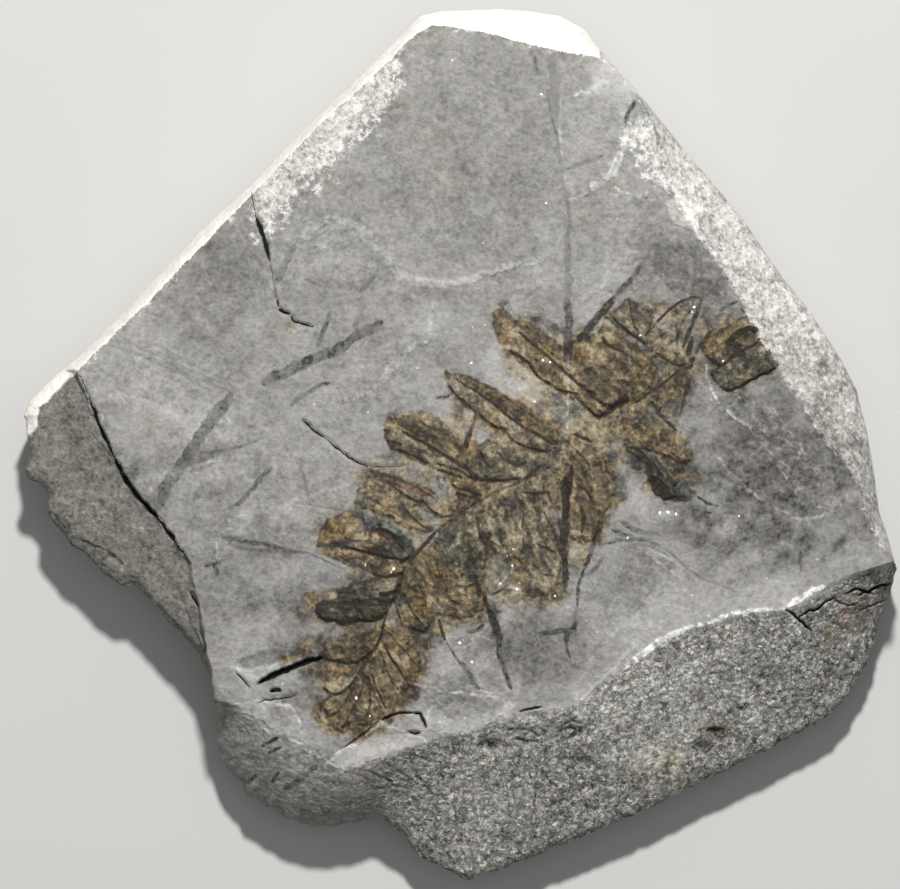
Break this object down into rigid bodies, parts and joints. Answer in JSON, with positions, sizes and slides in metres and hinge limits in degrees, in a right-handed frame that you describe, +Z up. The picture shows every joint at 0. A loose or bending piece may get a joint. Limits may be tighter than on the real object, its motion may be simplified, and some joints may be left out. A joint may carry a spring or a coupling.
{
  "type": "fossil fern plate",
  "caption": "Flat split slab of grey shale with a weathered rind, a broken lower edge and one fern frond pressed in low relief on its top face.",
  "frame": {"origin": "middle of the footprint, on the flat underside", "axes": "+Z up out of the fern face, +X and +Y along the slab, the frond running from lower left (-X, -Y) to upper right (+X, +Y)"},
  "size_m": [0.1, 0.0998, 0.0139],
  "materials": {
    "grey_shale": "matt split grey shale with a brown and black fern film, a cream weathered rind and a granular broken edge"
  },
  "bodies": {
    "root": {"shale_plate": "grey_shale"}
  },
  "joints": []
}
